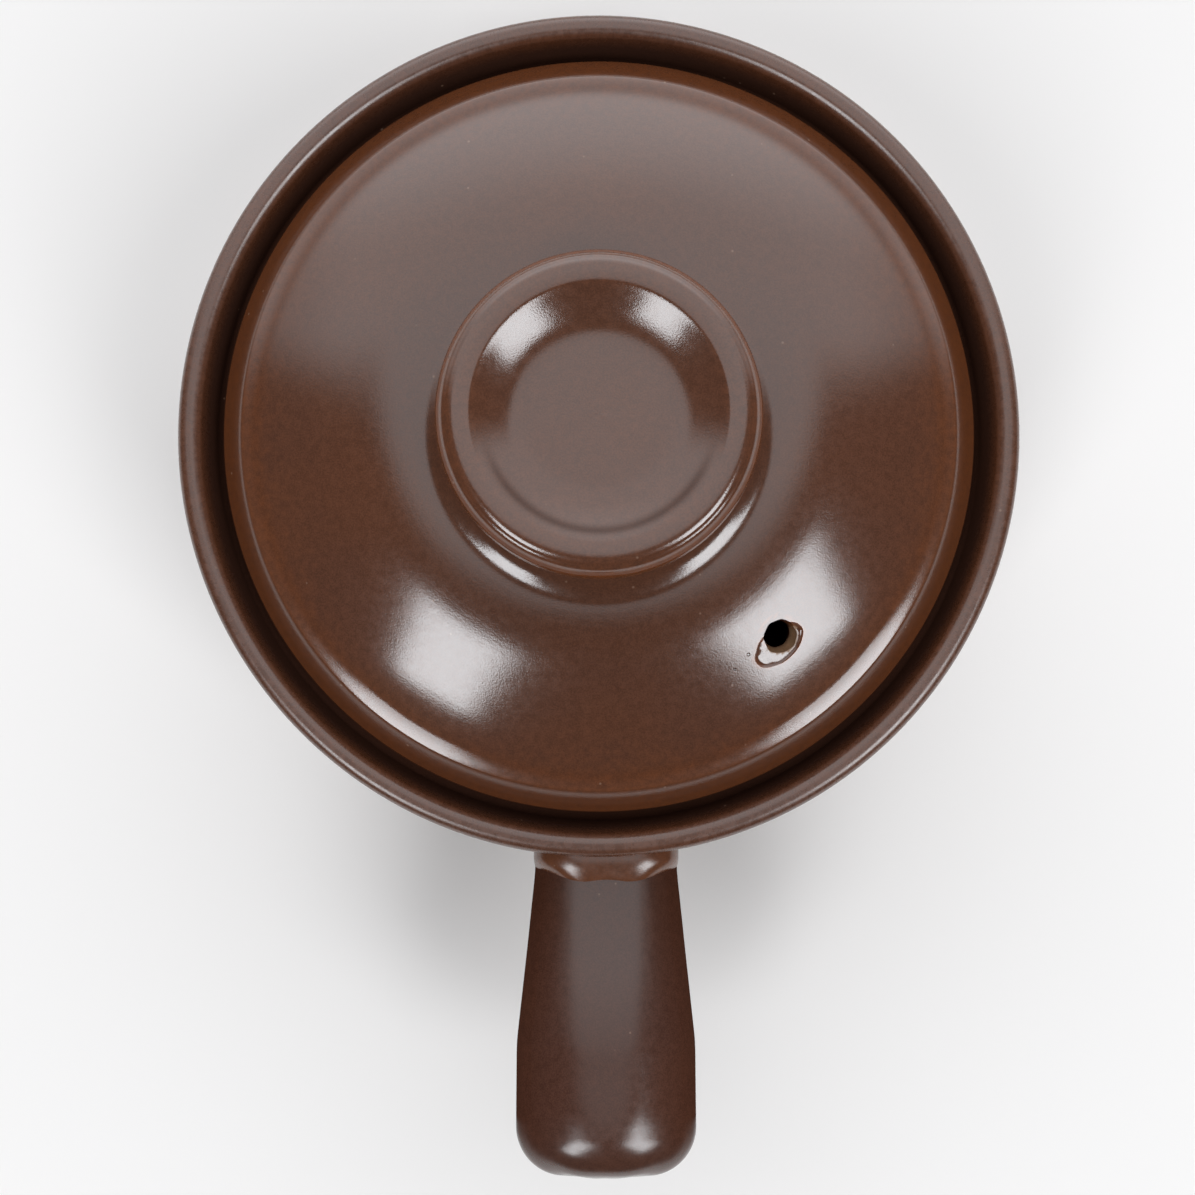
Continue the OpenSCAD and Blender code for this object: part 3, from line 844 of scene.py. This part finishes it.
class CLAY_OT_stick_handle(bpy.types.Operator):
    """Form the stick handle with the firing vent bored into its tip"""

    bl_idname = "clay.stick_handle"
    bl_label = "Stick Handle"

    def execute(self, context):
        forms, looks, columns = bench(context)
        columns = columns // 2
        arm = forms.arm
        outline = Outline(rounded(forms.handle_corners()), 0.0015)
        angle = angles(columns)
        along = outline.points[:, 1]
        from_tip = forms.arm_length - along
        # Lumpy beyond the slip, pressed flat on top and worn round at the tip.
        clear = soft_step(0.0, 0.02, along - forms.slip_end)
        press = clear[:, None] * (lumps(outline, columns, arm.lump, 11, 0.06) - arm.lump)
        press = press - forms.pressed_top(along, angle)
        worn = outline.softened(arm.worn, 1 - soft_step(0.02, 0.03, from_tip)) - outline.points
        worn = (worn * outline.out).sum(1)
        press = press + worn[:, None] * soft_step(0.3, 0.8, np.sin(angle))[None, :]
        # Matt sides with a little painted shade, and a duller stretch near the tip where hands hold
        # it.
        flank = soft_step(0.55, 0.85, np.abs(np.cos(angle)))[None, :]
        flank = flank * (1 - (1 - soft_step(0.003, 0.028, from_tip)) ** 8)[:, None]
        held = 0.4 * (1 - soft_step(0.02, 0.05, from_tip)) * soft_step(0.011, 0.017, from_tip)
        facts = {
            "thin": outline.edges() * 0.4,
            "bare": 0.0,
            "pool": 0.1 * flank,
            "matt": np.maximum(0.92 * flank, held[:, None]),
        }
        piece = lathe("stick_handle_glazed", outline, columns, press, **facts)
        # The firing vent, with a worn mouth and painted shade over its inside wall.
        reach, end = arm.vent_d / 2, forms.arm_length
        hole = [(0, -12), (0.9, -12), (0.92, -3), (1.0, -1.2), (1.5, 2), (0, 2)]
        hole = Outline(np.array(hole) * (reach, 0.001) + (0, end), 0.0008)
        cutter = lathe("firing_vent_cutter", hole, 32, thin=0.0, bare=0.0, pool=1.0)
        round_again = Matrix.Diagonal((1, 1 / forms.flatness, 1, 1))
        move(cutter, Matrix.Translation((0, arm.vent_up / forms.flatness, 0)) @ round_again)
        cut(piece, cutter)
        move(piece, forms.on_handle())
        made = glaze("handle glaze", looks, looks.handle, looks.base, 0.6, 1.5, 0.75)
        settle(piece, "pot", "stick_handle", made)
        return {"FINISHED"}


class CLAY_OT_handle_slip(bpy.types.Operator):
    """Smear the slip that joins the handle to the pot's wall"""

    bl_idname = "clay.handle_slip"
    bl_label = "Handle Slip"

    def execute(self, context):
        forms, looks, columns = bench(context)
        columns = columns // 2
        arm = forms.arm
        outline = Outline(rounded(forms.slip_corners()), 0.0006)
        outer = outline.points[:, :1] > arm.root_w / 2 - 0.00001
        # The slip lies on the handle, so its thickness counts from the handle's face.
        bare_handle = Outline(rounded(forms.handle_corners())).points
        root = np.interp(outline.points[:, 1], bare_handle[:, 1], bare_handle[:, 0])[:, None]
        along = outline.points[:, 1] - forms.belly_r
        angle = angles(columns)
        # Its roll falls away along the handle, sooner at the sides.
        reach = arm.slip_fall - arm.slip_bow * soft_step(0.25, 1.0, np.abs(np.cos(angle)))
        fall = np.clip((along[:, None] - arm.slip_full) / reach[None, :], 0, 1.12)
        roll = arm.slip_roll * (1 - fall**2)
        roll = roll + 0.0006 * (1 - soft_step(0.0, 0.007, along))[:, None]
        # It is thin at the sides, and sunk along the middle of the top.
        spread = 0.2 + 0.8 * soft_step(0.1, 0.7, np.abs(np.sin(angle)))
        middle = (np.sin(angle) > 0) * hump(np.cos(angle), 0, 0.4)
        sunk = 0.0002 + 0.0008 * middle
        thick = roll * spread[None, :] - sunk[None, :]
        thick = thick + lumps(outline, columns, 0.00006, 21, 0.03)
        press = np.where(outer, root + thick - outline.points[:, :1], 0.0)
        press = press - forms.pressed_top(outline.points[:, 1], angle)
        outline.out[:] = (1.0, 0.0)
        piece = lathe("handle_slip_glazed", outline, columns, press, True, **SLIP_FACTS)
        move(piece, forms.on_handle())
        made = glaze("handle slip glaze", looks, looks.warm, looks.thin, 0.7, 1.7, 0.9)
        settle(piece, "pot", "handle_slip", made)
        return {"FINISHED"}


class CLAY_OT_lid_dome(bpy.types.Operator):
    """Throw the domed lid with its seat, its steam vent and its boss"""

    bl_idname = "clay.lid_dome"
    bl_label = "Lid Dome"

    def execute(self, context):
        forms, looks, columns = bench(context)
        lid = forms.lid
        sharp = Outline(forms.lid_points(), 0.0005)
        r = sharp.points[:, 0]
        # Only the brim's creases are softened.
        brim = soft_step(forms.dome_edge[0] - 0.005, forms.dome_edge[0] - 0.003, r)
        brim = brim * (1 - soft_step(forms.lid_r - 0.002, forms.lid_r - 0.0005, r))
        brim = brim * (sharp.along > sharp.along[np.argmax(r)])
        outline = Outline(sharp.softened(0.0008, brim))
        r, z = outline.points.T
        top = outline.along > outline.along[np.argmax(r)]
        seat = (z < forms.seat_z + 0.0008) & (r > forms.lid_seat_r - 0.001)
        # Almost smooth on top, with throwing rings below and a true seat.
        rings = throwing_rings(outline, columns, lid.ring_apart)
        smooth = np.where(top, 0.000012, 0.00004)
        press = smooth[:, None] * (lumps(outline, columns, 1.0, 31, 0.03) - 1)
        press = press + (~top & ~seat & (r > 0.008))[:, None] * lid.ring_h * rings
        press = press * (~seat)[:, None]
        # Bare clay on the seat, thin glaze towards the brim, painted shade in the gap and on the
        # sloping band.
        line = waver(columns, 0.0008, 33, (3, 5, 8, 13))[None, :]
        from_edge = r[:, None] - forms.lid_r - line * 0.5
        bare = seat[:, None] * (1 - soft_step(-0.0014, -0.0008, from_edge))
        band = top * soft_step(forms.crease[0] - 0.0005, forms.crease[0] + 0.0012, r)
        worn = top * (0.33 * soft_step(0.058, 0.077, r) + 0.25 * band)
        # Painted shade on the lid's upright edge, down in the gap.
        painted_gap_shade = (r > forms.lid_r - 0.002) * (~seat)
        painted_gap_shade = painted_gap_shade * (1 - soft_step(0.0052, 0.0066, z - forms.seat_z))
        facts = {
            "thin": np.maximum(0.4 * outline.edges(), worn),
            "bare": bare,
            "pool": np.maximum(painted_gap_shade, 0.45 * band),
            "matt": 0.45 * top * hump(r, forms.dome_edge[0] + 0.0006, 0.0014),
        }
        piece = lathe("lid_dome_glazed", outline, columns, press, True, **facts)
        # The shallow hollow round the steam vent, pressed oval.
        wide, deep, throat = lid.sink_d / 2, lid.sink_depth, lid.vent_d / 2
        sides = 96
        saucer = [(0, -0.9), (0.84, -0.9), (0.94, -0.7), (1.0, -0.2), (1.02, 0.4), (1.06, 1.2)]
        saucer = Outline(np.array(saucer + [(0, 1.2)]) * (wide, deep), 0.0008)
        uneven = soft_step(0.003, 0.005, saucer.points[:, 0])[:, None]
        uneven = uneven * lumps(saucer, sides, 0.00012, 43, 0.05)
        sink = lathe("vent_hollow_cutter", saucer, sides, uneven, thin=0.0, bare=0.0, pool=0.0)
        pressed = forms.sink_matrix() @ Matrix.Translation((0, -0.0014, 0))
        pressed = pressed @ Matrix.Diagonal((0.68, 1.08, 1, 1))
        move(sink, pressed)
        cut(piece, sink)
        # The steam vent, ragged, with its mouth pushed outward and a little painted shade on its
        # wall.
        pipe = [(0, -25), (1, -25), (0.9, -8), (0.86, -4.5), (0.9, -3), (1, -1.5), (1, 20), (0, 20)]
        pipe = Outline(np.array(pipe) * (throat, 0.001), 0.0006)
        ragged = soft_step(0.001, 0.003, pipe.points[:, 0])[:, None]
        ragged = ragged * lumps(pipe, sides, 0.0003, 41, 0.006)
        # Painted light: the far wall, which faces the bright back, is painted pale bare clay on
        # that side only.
        far_side = soft_step(0.0, 0.7, np.cos(angles(sides)))
        pale = soft_step(-0.0052, -0.004, pipe.points[:, 1])[:, None] * far_side[None, :]
        hole = lathe("steam_vent_cutter", pipe, sides, ragged, thin=0.5, bare=pale, pool=0.25)
        spots = places_of(hole)
        spots[:, 0] += 0.001 * soft_step(-0.0045, -0.002, spots[:, 2])
        hole.data.vertices.foreach_set("co", spots.reshape(-1))
        move(hole, forms.vent_matrix())
        cut(piece, hole)
        # Thin glaze round both rims, and pale bare clay on the vent's far wall: partly bare clay,
        # partly painted light where that wall faces the bright back.
        rims = ((pressed, wide, 0.00028), (forms.vent_matrix(), throat, 0.0003))
        for matrix, reach, width in rims:
            back = matrix.inverted()
            near = places_of(piece) @ np.array(back.to_3x3()).T + np.array(back.translation)
            off = np.hypot(near[:, 0], near[:, 1]) - reach
            raise_fact(piece, "thin", (np.abs(near[:, 2]) < 0.003) * hump(off, 0, width))
        within = np.hypot(near[:, 0] - 0.0009, near[:, 1]) < throat + 0.0003
        wall = within * (np.abs(near[:, 2] + 0.003) < 0.0022) * soft_step(0.0, 0.002, near[:, 0])
        raise_fact(piece, "bare", 0.55 * wall)
        holes = [(x, y, forms.dome_height(math.hypot(x, y))) for x, y in PINHOLES]
        made = glaze("lid glaze", looks, looks.base, looks.warm, pinholes=holes)
        settle(piece, "lid", "lid_dome", made)
        return {"FINISHED"}


class CLAY_OT_lid_knob(bpy.types.Operator):
    """Throw the dished knob"""

    bl_idname = "clay.lid_knob"
    bl_label = "Lid Knob"

    def execute(self, context):
        forms, looks, columns = bench(context)
        knob = forms.knob
        sharp = Outline(rounded(forms.knob_corners()), 0.0004)
        r, z = sharp.points.T
        # A softer lip.
        lip = soft_step(0.0205, 0.0215, r) * soft_step(-0.009, -0.006, z - forms.knob_top)
        sharp = Outline(sharp.softened(0.0011, lip), 0.0004)
        r, z = sharp.points.T
        # The dish is filled to a bowl whose wall steepens outward in two stages.
        dish = (r < knob.dish_d / 2) & (z > forms.dish_z - 0.001)
        steps = np.linspace(0, 0.025, 501)
        rate = 0.32 * soft_step(0.0125, 0.0192, steps) + 0.12 * soft_step(0.0185, 0.0245, steps)
        bowl = forms.knob_top - knob.bowl_depth
        bowl = bowl + np.interp(r, steps, np.cumsum(rate) * steps[1])
        sharp = Outline(np.c_[r, np.where(dish, np.maximum(z, bowl), z)], 0.0004)
        r, z = sharp.points.T
        dish = soft_step(0.004, 0.008, r) * (1 - soft_step(0.0255, 0.0275, r)) * (z > forms.dish_z)
        outline = Outline(sharp.softened(0.0007, dish), 0.0005)
        # Turning ridges round the side, and two fine grooves on the shoulder.
        press = lumps(outline, columns, 0.00002, 51, 0.02) - 0.00002
        r, z = outline.points.T
        side = (r > knob.dish_d / 2 + 0.003) * soft_step(0.0, 0.002, forms.knob_top - z)
        side = side * soft_step(forms.joint_z + 0.006, forms.joint_z + 0.01, z)
        ridges = np.sin(TURN * z / 0.0021) + 0.6 * np.sin(TURN * z / 0.0034 + 1)
        press = press + (side * knob.ridge_h * (ridges - 1.6))[:, None]
        press = press * (z > forms.joint_z + 0.0001)[:, None]
        inner = knob.groove_d / 2
        grooves = hump(r, inner, 0.0003) + hump(r, inner + knob.groove_apart, 0.0003)
        grooves = grooves * soft_step(-0.008, -0.004, z - forms.knob_top)
        press = press - (knob.groove_depth * grooves)[:, None]
        # Thin glaze on the side and the crest, dull where the side is steep.
        crest = soft_step(0.022, 0.0235, r) * soft_step(-0.005, -0.001, z - forms.knob_top)
        thin = 0.25 * outline.edges(0.0006, 120, 420) + np.maximum(0.45 * side, 0.12 * crest)
        steep = 0.8 * (r > 0.028) * (1 - soft_step(0.55, 0.75, outline.out[:, 1]))
        # Painted shade along the dish's wall, on the handle's side.
        near_side = soft_step(0.1, 0.7, -np.sin(angles(columns)))
        wall = hump(r, 0.022, 0.0009) * (z > forms.dish_z - 0.001)
        pool = 0.55 * wall[:, None] * near_side[None, :]
        facts = {"thin": thin, "bare": 0.0, "pool": pool, "matt": steep}
        piece = lathe("lid_knob_glazed", outline, columns, press, **facts)
        made = glaze("knob glaze", looks, looks.base, looks.warm)
        settle(piece, "lid", "lid_knob", made)
        return {"FINISHED"}


class CLAY_OT_knob_slip(bpy.types.Operator):
    """Lay the bead of slip in the joint under the knob"""

    bl_idname = "clay.knob_slip"
    bl_label = "Knob Slip"

    def execute(self, context):
        forms, looks, columns = bench(context)
        knob = forms.knob
        middle = (forms.boss_r - knob.bead_r + knob.bead_proud, forms.joint_z)
        outline = Outline(arc(middle, knob.bead_r, -180, 180, 15)[:-1], 0.001)
        press = lumps(outline, columns, 0.00012, 61, 0.02) - 0.00012
        piece = lathe("knob_slip_glazed", outline, columns, press, True, **SLIP_FACTS)
        made = glaze("knob slip glaze", looks, looks.base, looks.warm)
        settle(piece, "lid", "knob_slip", made)
        return {"FINISHED"}


class CLAY_OT_studio(bpy.types.Operator):
    """Set up the pale table, the white wall behind, two lamps and the camera overhead"""

    bl_idname = "clay.studio"
    bl_label = "Studio"

    def lamp(self, name, setup, toward, wide, tall, roll):
        """A soft lamp in a direction from the lid, with its size and its roll given as angles."""
        data = bpy.data.lights.new(name, "AREA")
        data.shape = "RECTANGLE"
        data.size = 2 * setup.lamp_away * math.tan(math.radians(wide) / 2)
        data.size_y = 2 * setup.lamp_away * math.tan(math.radians(tall) / 2)
        data.energy = setup.lamp_light * math.pi * data.size * data.size_y
        data.color = LAMP_TINT
        made = put(name, data)
        toward = Vector(toward).normalized()
        lid = Vector((0, 0, 0.1))
        made.location = lid + toward * setup.lamp_away
        turn = Matrix.Rotation(math.radians(roll), 3, "Z")
        made.rotation_euler = (toward.to_track_quat("Z", "Y").to_matrix() @ turn).to_euler()
        made.visible_camera = False

    def surroundings(self, setup):
        """A white wall and ceiling behind, a darker room in front, and a pale horizon."""
        world = bpy.data.worlds.new("studio room")
        s = Wiring(world, "Generated")
        axes = s.node("ShaderNodeSeparateXYZ")
        s.feed(axes.inputs[0], s.place)
        x, y, z = axes.outputs
        wide = s.times(x, x)
        edge = s.math("SUBTRACT", y, s.times(wide, 0.18))
        edge = s.plus(edge, s.between(wide, 0.02, 0.22, 0.26, 0.0))
        wall = s.between(y, 0.5, 0.95, 0.0, setup.wall_light - setup.back_light)
        back = s.plus(wall, s.between(y, 0.0, 0.3, setup.top_light, setup.back_light))
        back = s.times(back, s.between(wide, 0.3, 0.9, 1.0, 0.5))
        sky = s.between(edge, 0.09, 0.27, setup.front_light, back)
        light = s.between(z, 0.02, 0.14, setup.low_light, sky)
        glow = s.node("ShaderNodeBackground")
        glow.inputs["Color"].default_value = (*ROOM_TINT, 1.0)
        s.feed(glow.inputs["Strength"], light)
        out = s.node("ShaderNodeOutputWorld")
        s.feed(out.inputs[0], glow.outputs[0])
        bpy.context.scene.world = world

    def execute(self, context):
        scene = context.scene
        setup = scene.studio_setup
        scene.view_settings.view_transform = "Standard"
        mesh = bpy.data.meshes.new("table")
        far = 4.0
        low = -0.0003
        corners = [(-far, -far, low), (far, -far, low), (far, far, low), (-far, far, low)]
        mesh.from_pydata(corners, [], [(0, 1, 2, 3)])
        table = put("table", mesh)
        pale = fresh_material("pale table")
        s = Wiring(pale, "Object")
        shader = s.node("ShaderNodeBsdfPrincipled")
        shader.inputs["Base Color"].default_value = (*setup.table, 1.0)
        shader.inputs["Roughness"].default_value = 0.9
        shader.inputs["Specular IOR Level"].default_value = 0.05
        out = s.node("ShaderNodeOutputMaterial")
        s.feed(out.inputs["Surface"], shader.outputs[0])
        mesh.materials.append(pale)
        for name, lamp in LAMPS.items():
            self.lamp(name, setup, **lamp)
        self.surroundings(setup)
        data = bpy.data.cameras.new("camera")
        data.lens = setup.lens
        data.sensor_width = 36.0
        scene.camera = put("camera", data)
        scene.camera.location = (-0.0003, setup.camera_y, setup.camera_h)
        return {"FINISHED"}


class CLAY_PT_panel(bpy.types.Panel):
    """The steps that build the pot"""

    bl_label = "Clay Pot"
    bl_idname = "CLAY_PT_panel"
    bl_space_type = "VIEW_3D"
    bl_region_type = "UI"
    bl_category = "Clay Pot"

    def draw(self, context):
        for step in STEPS:
            self.layout.operator(step.bl_idname)


GROUPS = {
    "pot_sizes": PotSizes,
    "lid_sizes": LidSizes,
    "knob_sizes": KnobSizes,
    "handle_sizes": HandleSizes,
    "glaze_looks": GlazeLooks,
    "studio_setup": StudioSetup,
}
STEPS = (
    CLAY_OT_pot_body,
    CLAY_OT_stick_handle,
    CLAY_OT_handle_slip,
    CLAY_OT_lid_dome,
    CLAY_OT_lid_knob,
    CLAY_OT_knob_slip,
    CLAY_OT_studio,
)


def register():
    for group in GROUPS.values():
        bpy.utils.register_class(group)
    for step in (*STEPS, CLAY_PT_panel):
        bpy.utils.register_class(step)
    for name, group in GROUPS.items():
        setattr(bpy.types.Scene, name, PointerProperty(type=group))


def unregister():
    for name in GROUPS:
        delattr(bpy.types.Scene, name)
    for step in reversed((*STEPS, CLAY_PT_panel)):
        bpy.utils.unregister_class(step)
    for group in reversed(list(GROUPS.values())):
        bpy.utils.unregister_class(group)


def main():
    register()
    bpy.ops.clay.pot_body()
    bpy.ops.clay.stick_handle()
    bpy.ops.clay.handle_slip()
    bpy.ops.clay.lid_dome()
    bpy.ops.clay.lid_knob()
    bpy.ops.clay.knob_slip()
    bpy.ops.clay.studio()
    bpy.context.view_layer.update()


if __name__ == "__main__":
    main()
